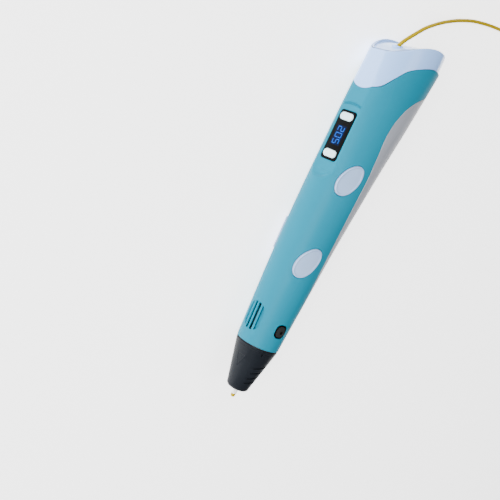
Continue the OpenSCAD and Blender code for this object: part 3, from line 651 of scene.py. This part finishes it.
# The levels of a plate: how far in from its outline, and how far out.
BEZEL_LEVELS = ((0.1, 9.4), (0, 9.8), (0, 10.36), (0.08, 10.46), (0.22, 10.5))
WINDOW_LEVELS = ((0, 10.2), (0, 10.505), (0.06, 10.52))
KEY_LEVELS = ((0.05, 9.0), (0, 9.6), (0, 10.6), (0.08, 10.85), (0.25, 11.02), (0.5, 11.1),
              (0.75, 11.06), (1.1, 10.96), (1.6, 10.92))
SLIDER_BED_LEVELS = ((0, -1.5), (0, -0.4), (0.1, -0.3), (0.6, -0.28), (1.6, -0.28))


def build_ovals():
    w = full_turn(OVAL_POINTS)
    for node, place in OVALS.items():
        f = facing(OVAL_TURN, *place)

        def ring(inset, rise, share=1.0, foot=None):
            a, b = (OVAL_A - inset) * share, (OVAL_B - inset) * share
            lx, ly = b * np.sin(w), a * np.cos(w)
            x = lx * math.cos(OVAL_LEAN) + ly * math.sin(OVAL_LEAN)
            y = -lx * math.sin(OVAL_LEAN) + ly * math.cos(OVAL_LEAN)
            local = np.stack([x, y], axis=1)
            height = np.full(len(w), foot) if foot else skin_height(local, f) + rise
            return on_frame(local, height, f)

        rings = [ring(0, 0, foot=OVAL_FOOT)] + [ring(*level) for level in OVAL_PROFILE]
        for s in (0.85, 0.7, 0.5, 0.3, 0.12):
            rings.append(ring(OVAL_FACE_INSET, OVAL_FACE_RISE - 0.1 * (1 - s), s))
        ring_piece(node + "_cap", rings, "button_white", node.split("_")[0], node, flip=True)


def rounded_ring(w, h, r):
    """Points of a rounded rectangle, counter-clockwise."""
    pts = []
    for cx, cy, start in ((1, 1, 0), (-1, 1, 90), (-1, -1, 180), (1, -1, 270)):
        for k in range(CORNER_STEPS + 1):
            a = math.radians(start + 90 * k / CORNER_STEPS)
            pts.append((cx * (w / 2 - r) + r * math.cos(a), cy * (h / 2 - r) + r * math.sin(a)))
    return np.array(pts)


def plate(name, f, w, h, r, levels, look, body, node, follow=False):
    """A rounded plate in a facing frame. Its heights can follow the casing's curve."""
    rings = []
    for inset, height in levels:
        local = rounded_ring(w - 2 * inset, h - 2 * inset, max(r - inset, 0.05))
        level = skin_height(local, f) + height if follow else np.full(len(local), height)
        rings.append(on_frame(local, level, f))
    ring_piece(name, rings, look, body, node)


def digit(ch, w, h, t):
    """Flat outlines of a seven-segment digit's lit bars."""
    g = SEGMENT_GAP
    bars = {"a": (0, h / 2 - t / 2, w - 2 * t, t), "d": (0, -h / 2 + t / 2, w - 2 * t, t),
            "g": (0, 0, w - 2 * t, t),
            "b": (w / 2 - t / 2, h / 4, t, h / 2 - t), "c": (w / 2 - t / 2, -h / 4, t, h / 2 - t),
            "f": (-w / 2 + t / 2, h / 4, t, h / 2 - t), "e": (-w / 2 + t / 2, -h / 4, t, h / 2 - t)}
    out = []
    for s in SEGMENTS[ch]:
        x, y, bw, bh = bars[s]
        k = min(bw, bh) / 2
        if bw > bh:
            out.append([(x - bw / 2 - k + g, y), (x - bw / 2 + g, y - k), (x + bw / 2 - g, y - k),
                        (x + bw / 2 + k - g, y), (x + bw / 2 - g, y + k), (x - bw / 2 + g, y + k)])
        else:
            out.append([(x, y - bh / 2 - k + g), (x + k, y - bh / 2 + g), (x + k, y + bh / 2 - g),
                        (x, y + bh / 2 + k - g), (x - k, y + bh / 2 - g), (x - k, y - bh / 2 + g)])
    return out


def build_display():
    f = BEZEL_FRAME
    plate("bezel_plate", f, BEZEL_W, BEZEL_H, BEZEL_R, BEZEL_LEVELS, "black_gloss", "casing",
          "display_bezel")
    plate("display_window", f, 5.3, 8.9, 0.25, WINDOW_LEVELS, "display", "casing", "display_panel")
    pts, faces = [], []
    for k, ch in enumerate("205"):
        for bar in digit(ch, DIGIT_W, DIGIT_H, DIGIT_BAR):
            start = len(pts)
            for x, y in bar:
                local = np.array([[y, DIGIT_PITCH * (1 - k) - x]])
                pts.append(on_frame(local, [DIGIT_OUT], f)[0])
            a, b, c = pts[start:start + 3]
            face = tuple(range(start, len(pts)))
            faces.append(face if np.cross(b - a, c - a)[1] < 0 else face[::-1])
    mesh_piece("display_digits", pts, faces, "digits", "casing", "display_panel")
    for node, z, body in (("key_up", BEZEL_Z + KEY_OFFSET, "up_key"),
                          ("key_down", BEZEL_Z - KEY_OFFSET, "down_key")):
        plate(node + "_cap", facing(0, z), KEY_W, KEY_H, KEY_R, KEY_LEVELS, "key_white", body, node)


# Latch

LATCH_POINTS, LATCH_FOOT, LATCH_FACE = 64, 8.4, (0.75, -0.12)
LATCH_PROFILE = ((0, 0.0), (0.1, 0.12), (0.25, 0.16), (0.45, 0.12), (0.6, -0.05), LATCH_FACE)
LATCH_RIM_RINGS = 6
LATCH_POWER_UP, LATCH_POWER_DOWN = 2.4, 3.0  # how square its upper and lower halves are
DIMPLE_X, DIMPLE_Y, DIMPLE_R, DIMPLE_DEPTH = 0.7, -0.4, 0.6, 0.6
# A glossy black disc laid just under the latch's dimple paints the shade in that hollow. Its rings:
# radius, and how far below the casing.
DIMPLE_PROFILE = ((0.75, 0.25), (0.68, 0.1), (0.58, 0.12), (0.45, 0.3), (0.2, 0.42), (0.04, 0.45))


def build_latch():
    f = LATCH_FRAME
    w = full_turn(LATCH_POINTS)

    def ring(inset, rise, share=1.0, foot=None):
        c, d = np.cos(w), np.sin(w)
        power = np.where(d > 0, LATCH_POWER_UP, LATCH_POWER_DOWN)
        k = (np.abs(c) ** power + np.abs(d) ** power) ** (-1 / power)
        x, y = c * k * (LATCH_W / 2 - inset), d * k * (LATCH_H / 2 - inset)
        local = np.stack([x, y], axis=1) * share
        if foot:
            return on_frame(local, np.full(len(w), foot), f)
        dimple = np.hypot(local[:, 0] - DIMPLE_X, local[:, 1] - DIMPLE_Y) - DIMPLE_R
        height = skin_height(local, f) + rise - DIMPLE_DEPTH * step(dimple, 0.25)
        return on_frame(local, height, f)

    rings = [ring(0, 0, foot=LATCH_FOOT)] + [ring(*level) for level in LATCH_PROFILE]
    rings += [ring(*LATCH_FACE, s) for s in np.linspace(0.92, 0.05, 14)]
    ring_piece("latch_rim", rings[:LATCH_RIM_RINGS], "black_gloss", "latch", "latch_button",
               closed_high=False)
    ring_piece("latch_cap", rings[LATCH_RIM_RINGS - 1:], "latch_face", "latch", "latch_button",
               closed_low=False)

    def shade_disc_ring(r, drop):
        local = np.stack([DIMPLE_X + r * np.cos(w), DIMPLE_Y + r * np.sin(w)], axis=1)
        return on_frame(local, skin_height(local, f) - drop, f)

    # Painted shade: a black disc just below the dimple's face darkens the hollow.
    ring_piece("latch_dimple_painted_shade", [shade_disc_ring(*level) for level in DIMPLE_PROFILE], "black_gloss", "latch",
               "latch_button")


# Slider

KNOB_START, KNOB_LENGTH, KNOB_HALF, KNOB_EDGE_RISE, KNOB_FOOT = -4.9, 15.5, 3.2, 0.25, -0.2
TOOTH_PITCH, TOOTH_COUNT = 0.84, 18
TOOTH = ((0.05, 0.62), (0.3, 0.82), (0.42, 0.82), (0.67, 0.62))  # along the pen, and outwards
BEVEL_SHARE, BEVEL_DROP = 0.18, 0.35


def build_slider():
    f = SIDE_FRAME
    plate("slider_bed", f, 7.0, 24.9, 0.7, SLIDER_BED_LEVELS, "button_white", "casing",
          "slider_track", follow=True)
    levels = [(KNOB_START, KNOB_EDGE_RISE)]
    for k in range(TOOTH_COUNT):
        y = KNOB_START + 0.2 + k * TOOTH_PITCH
        levels += [(y + along, rise) for along, rise in TOOTH]
    levels.append((KNOB_START + KNOB_LENGTH, KNOB_EDGE_RISE))
    across = [-1, *np.linspace(-1, 1, 15), 1]
    n = len(across)
    pts, faces = [], []
    for y, rise in levels:
        for k, s in enumerate(across):
            local = np.array([[KNOB_HALF * s, y]])
            bevel = BEVEL_DROP * max(0, abs(s) - (1 - BEVEL_SHARE)) / BEVEL_SHARE
            out = KNOB_FOOT if k in (0, n - 1) else rise - bevel
            pts.append(on_frame(local, [skin_height(local, f)[0] + out], f)[0])
    last = (len(levels) - 1) * n
    for a in range(0, last, n):
        for b in range(n - 1):
            faces.append((a + b, a + b + 1, a + n + b + 1, a + n + b))
    faces.append(tuple(range(n - 1, -1, -1)))
    faces.append(tuple(last + b for b in range(n)))
    faces += [(a + n, a + 2 * n - 1, a + n - 1, a) for a in range(0, last, n)]
    mesh_piece("slider_knob", pts, faces, "button_white", "slider", "speed_slider")


# Nose cone and nozzle

CONE_END_R, CONE_END_Z, CONE_TOP_R, CONE_TOP_Z = 5.45, 3.0, 10.15, SEAM_Z - 0.5
CONE_ROUND, CONE_BORE, CONE_POINTS = 2.0, 2.2, 120
LOUVRE_ZS, LOUVRE_TURN, LOUVRE_SLOPE = (8.9, 11.5, 14.5, 17.3), 95, 0.287
NOTCH_TURN, NOTCH_LENGTH, NOTCH_HALF, NOTCH_R = 67.5, 2.3, 0.16, 0.45
LINE_DROP, LINE_DEPTH = 1.3, 0.12
# The triangle in relief: its direction, its lowest and highest point, the rise, reach and length of
# its slanting side, and how far it stands out.
TRIANGLE_TURN, TRIANGLE_LOW, TRIANGLE_HIGH = 11, 13.6, 20.7
TRIANGLE_SIDE_Z, TRIANGLE_SIDE_X, TRIANGLE_SIDE, TRIANGLE_RISE = 7.0, 2.6, 7.5, 0.16
LIP_R, LIP_BORE, CORE_R = 7.85, 6.8, 4.3


def cone_r(z):
    share = (z - CONE_END_Z - CONE_ROUND) / (CONE_TOP_Z - CONE_END_Z - CONE_ROUND)
    return CONE_END_R + (CONE_TOP_R - CONE_END_R) * share


def around(p, turn):
    """Millimetres around the cone from a direction."""
    off = (np.degrees(np.arctan2(p[:, 0], -p[:, 1])) - turn + 180) % 360 - 180
    return np.radians(off) * np.hypot(p[:, 0], p[:, 1])


def cone_skin(par):
    """The cone's side, with a fine line below its rim and a faint triangle in relief."""
    u, z = par[:, 0], par[:, 1]
    r = cone_r(z)
    line = np.abs(z - (CONE_TOP_Z - LINE_DROP)) - 0.1
    arc = (((np.degrees(u) - TRIANGLE_TURN) + 180) % 360 - 180) * math.pi / 180 * r
    arc = arc + 0.1 * (TRIANGLE_HIGH - z)
    side = (np.abs(arc) * TRIANGLE_SIDE_Z - (z - TRIANGLE_LOW) * TRIANGLE_SIDE_X) / TRIANGLE_SIDE
    outline = np.abs(np.maximum(side, z - TRIANGLE_HIGH) + 0.2) - 0.14
    r = r - LINE_DEPTH * step(line, 0.08) + TRIANGLE_RISE * step(outline, 0.12)
    return np.stack([r * np.sin(u), -r * np.cos(u), z], axis=1)


def louvre_distance(p, z):
    """Distance to the slanting, tapered slots at one height, one on each side of the cone."""
    arc, other = around(p, LOUVRE_TURN), around(p, LOUVRE_TURN + 180)
    arc = np.where(np.abs(arc) < np.abs(other), arc, other)
    half = 3.1 + 0.06 * z
    taper = 0.5 - 0.34 * np.clip(-arc / half, 0, 1) - 0.1 * np.clip(arc / half, 0, 1)
    return np.maximum(np.abs(p[:, 2] - z - LOUVRE_SLOPE * arc) - taper, np.abs(arc) - half)


def notch_distance(p):
    """Distance to the keyhole notches in the cone's rim."""
    arc = np.minimum(np.abs(around(p, NOTCH_TURN)), np.abs(around(p, NOTCH_TURN + 180)))
    low = CONE_TOP_Z - NOTCH_LENGTH
    slit = np.maximum(arc - NOTCH_HALF, low - p[:, 2])
    return np.minimum(slit, np.hypot(arc, p[:, 2] - low) - NOTCH_R)


def build_nose():
    us = spaced([(-math.pi, 0.04), (-0.5, 0.02), (1.0, 0.03), (2.4, 0.04), (math.pi, None)])
    zs = spaced([(CONE_END_Z + CONE_ROUND, 0.25), (13, 0.18), (21.2, 0.3), (23.8, 0.08),
                 (25.2, 0.2), (CONE_TOP_Z, None)])
    side = Skin(us, zs, cone_skin)
    side.cut(lambda p: CONE_TOP_Z - p[:, 2], 0.3, 0.1)
    for z in LOUVRE_ZS:
        side.cut(lambda p: louvre_distance(p, z), 0.07, 0.85)
    side.cut(notch_distance, 0.05, 0.7)
    side.build("cone_side", "slate", "cone", "nose_cone")

    core = [(cone_r(z) - 0.9, z) for z in (6, 10, 14, 18, 22, CONE_TOP_Z - 0.5)]
    core.append((CONE_TOP_R - 0.4, CONE_TOP_Z - 0.3))
    inner = CONE_END_R - CONE_ROUND
    end = [(CORE_R, CONE_END_Z + 4.4), (CORE_R, CONE_END_Z + 1.6), (CONE_BORE, CONE_END_Z + 1.6),
           (CONE_BORE, CONE_END_Z + 0.15), (CONE_BORE + 0.15, CONE_END_Z), (inner, CONE_END_Z)]
    end += [(inner + CONE_ROUND * np.sin(a), CONE_END_Z + CONE_ROUND * (1 - np.cos(a)))
            for a in np.radians([15, 30, 45, 60, 75, 86])]
    end.append((CONE_END_R + 0.004, CONE_END_Z + CONE_ROUND + 0.02))
    lip = [(CONE_TOP_R - 0.3, CONE_TOP_Z), (LIP_R, CONE_TOP_Z), (LIP_R, CONE_TOP_Z + 4.0),
           (LIP_R - 0.15, CONE_TOP_Z + 4.2), (LIP_BORE, CONE_TOP_Z + 4.2),
           (LIP_BORE, CONE_TOP_Z - 2), (CORE_R, 7.4)]
    for name, profile in (("cone_core", core), ("cone_end", end), ("cone_lip", lip)):
        rings = [circle(r, z, CONE_POINTS) for r, z in profile]
        ring_piece(name, rings, "slate", "cone", "nose_cone", False, False)


LATHE_POINTS = 64
NOZZLE_PROFILE = ((0.4, 0.75), (0.42, 0.02), (0.55, 0), (1.05, 0), (1.14, 0.06), (1.17, 0.18),
                  (1.22, 3.1), (1.3, 3.2), (1.75, 3.2), (1.8, 3.25), (1.8, 5.2), (2.3, 5.9),
                  (2.3, 22), (1, 22))
BEAD_R, BEAD_Z, BEAD_DROP = 1.05, -0.85, 0.9


def lathe(name, profile, look, body, node):
    """A piece turned around the pen's axis from (radius, height)."""
    rings = [circle(max(r, 1e-4), z, LATHE_POINTS) for r, z in profile]
    ring_piece(name, rings, look, body, node)


def build_tip():
    lathe("nozzle_tip", NOZZLE_PROFILE, "ceramic", "casing", "ceramic_nozzle")
    bead = [(0.9, -0.01), (1.0, -0.2), (1.06, -0.45), (BEAD_R, BEAD_Z)]
    bead += [(BEAD_R * math.sin(a), BEAD_Z - BEAD_DROP * math.cos(a))
             for a in np.radians([75, 60, 45, 30, 15, 0])]
    lathe("molten_bead", bead[::-1], "filament", "casing", "melt_bead")


# Filament, in millimetres of the row's frame

ROUTE = [
    [-83.5, -8.65, 13.56], [-86, -7.2, 13.6], [-89.4, -4.2, 13.3], [-92.5, -1, 12.8],
    [-95.8, 2.6, 12.1], [-99, 6.6, 11.2], [-102, 11.2, 10], [-105, 16.2, 8.6], [-108, 21.6, 7.2],
    [-110.8, 27, 5.9], [-113.6, 32.6, 4.7], [-116.2, 38.4, 3.6], [-118.6, 44, 2.6],
    [-120.8, 49.6, 1.8], [-122.7, 55.4, 1.3], [-124.4, 61, 1], [-125.9, 66.6, 0.9],
    [-127.2, 72.2, 0.9], [-128.4, 77.8, 0.9], [-129.4, 83, 0.9], [-129.8, 88, 0.9]]
COIL_X, COIL_Y, COIL_R, COIL_LOW = -146.4, 88.0, 16.6, 0.9
COIL_TURNS, COIL_LAYERS, TURN_POINTS, TURN_PITCH, LAYER_PITCH = 6, 6, 32, 1.745, 1.75
STRAND_R = 0.000875  # metres, as Blender's curve takes it


def route_points():
    """A smooth line through the route, from the tail to where the coil starts."""
    p = np.array(ROUTE)
    points = []
    for i in range(len(p) - 1):
        m0 = (p[min(i + 1, len(p) - 1)] - p[max(i - 1, 0)]) / 2
        m1 = (p[min(i + 2, len(p) - 1)] - p[i]) / 2
        for s in np.arange(0, 1, 0.25):
            points.append((2 * s**3 - 3 * s**2 + 1) * p[i] + (s**3 - 2 * s**2 + s) * m0
                          + (3 * s**2 - 2 * s**3) * p[i + 1] + (s**3 - s**2) * m1)
    return points


def coil_points():
    """Layers wound inwards and outwards alternately. Each turn steps over to the next at its
    end."""
    points = []
    for k in range(COIL_LAYERS * COIL_TURNS * TURN_POINTS + 1):
        t = k / TURN_POINTS
        layer, inside = divmod(min(t, COIL_LAYERS * COIL_TURNS - 1e-9), COIL_TURNS)
        whole, part = divmod(inside, 1)
        shift = float(step(np.array(0.9 - part), 0.1)) if part > 0.8 else 0.0
        last = whole == COIL_TURNS - 1
        column = whole + (0 if last else shift)
        r = COIL_R - TURN_PITCH * (column if layer % 2 == 0 else COIL_TURNS - 1 - column)
        climb = shift if last and layer < COIL_LAYERS - 1 else 0
        a = 2 * math.pi * t
        points.append([COIL_X + r * math.cos(a), COIL_Y + r * math.sin(a),
                       COIL_LOW + LAYER_PITCH * (layer + climb)])
    return points


def build_filament():
    points = np.array(route_points() + coil_points()) / 1000
    curve = bpy.data.curves.new("filament_line", "CURVE")
    curve.dimensions = "3D"
    spline = curve.splines.new("POLY")
    spline.points.add(len(points) - 1)
    weights = np.ones((len(points), 1))
    spline.points.foreach_set("co", np.concatenate([points, weights], axis=1).ravel())
    curve.bevel_depth = STRAND_R
    curve.bevel_resolution = 3
    curve.use_fill_caps = True
    obj = add_object("filament_line", curve)
    finish_piece(obj, "filament", "casing", "filament_strand", "filament_coil")


build_filament()
build_casing()
build_tail()
build_ovals()
build_display()
build_latch()
build_slider()
build_nose()
build_tip()

node_looks = {s["node"]: s["material_slot"] for s in frame["record"]["subparts"]}
for node, obj in frame["nodes"].items():
    obj.data.materials.clear()
    obj.data.materials.append(LOOKS[node_looks[node]])


# Floor and light

FLOOR_HALF, FLOOR_Z = 4, -0.0002
WORLD_COLOR, WORLD_STRENGTH = (0.96, 0.98, 1.0, 1), 0.25
# Name, place, size and power. Each one shines at the origin.
LIGHTS = (("key", (0.1, -0.72, 0.58), 0.5, 14.0), ("fill", (-0.6, -0.35, 0.5), 0.6, 2.0),
          ("top", (0.0, 0.2, 0.9), 0.7, 3.2), ("edge", (-0.16, -0.91, 0.27), 0.16, 1.6))


def build_stage():
    mesh = bpy.data.meshes.new("floor")
    corners = [(x * FLOOR_HALF, y * FLOOR_HALF, FLOOR_Z)
               for x, y in ((-1, -1), (1, -1), (1, 1), (-1, 1))]
    mesh.from_pydata(corners, [], [(0, 1, 2, 3)])
    floor = add_object("floor", mesh)
    mesh.materials.append(material("floor", (0.90, 0.90, 0.90), 0.7, speck=0.0, bump=0.001,
                                   glow=((1, 1, 1), 2.4), specular=0.1))
    world = bpy.data.worlds.new("studio")
    world.use_nodes = True
    world.node_tree.nodes["Background"].inputs["Color"].default_value = WORLD_COLOR
    world.node_tree.nodes["Background"].inputs["Strength"].default_value = WORLD_STRENGTH
    bpy.context.scene.world = world
    for name, place, size, power in LIGHTS:
        data = bpy.data.lights.new(name, "AREA")
        data.shape, data.size, data.energy = "DISK", size, power
        aim = -np.array(place) / np.linalg.norm(place)
        side = np.cross(aim, [0, 0, 1])
        side /= np.linalg.norm(side)
        add_object(name, data).matrix_world = axes_matrix(side, np.cross(side, aim), -aim, place)


build_stage()
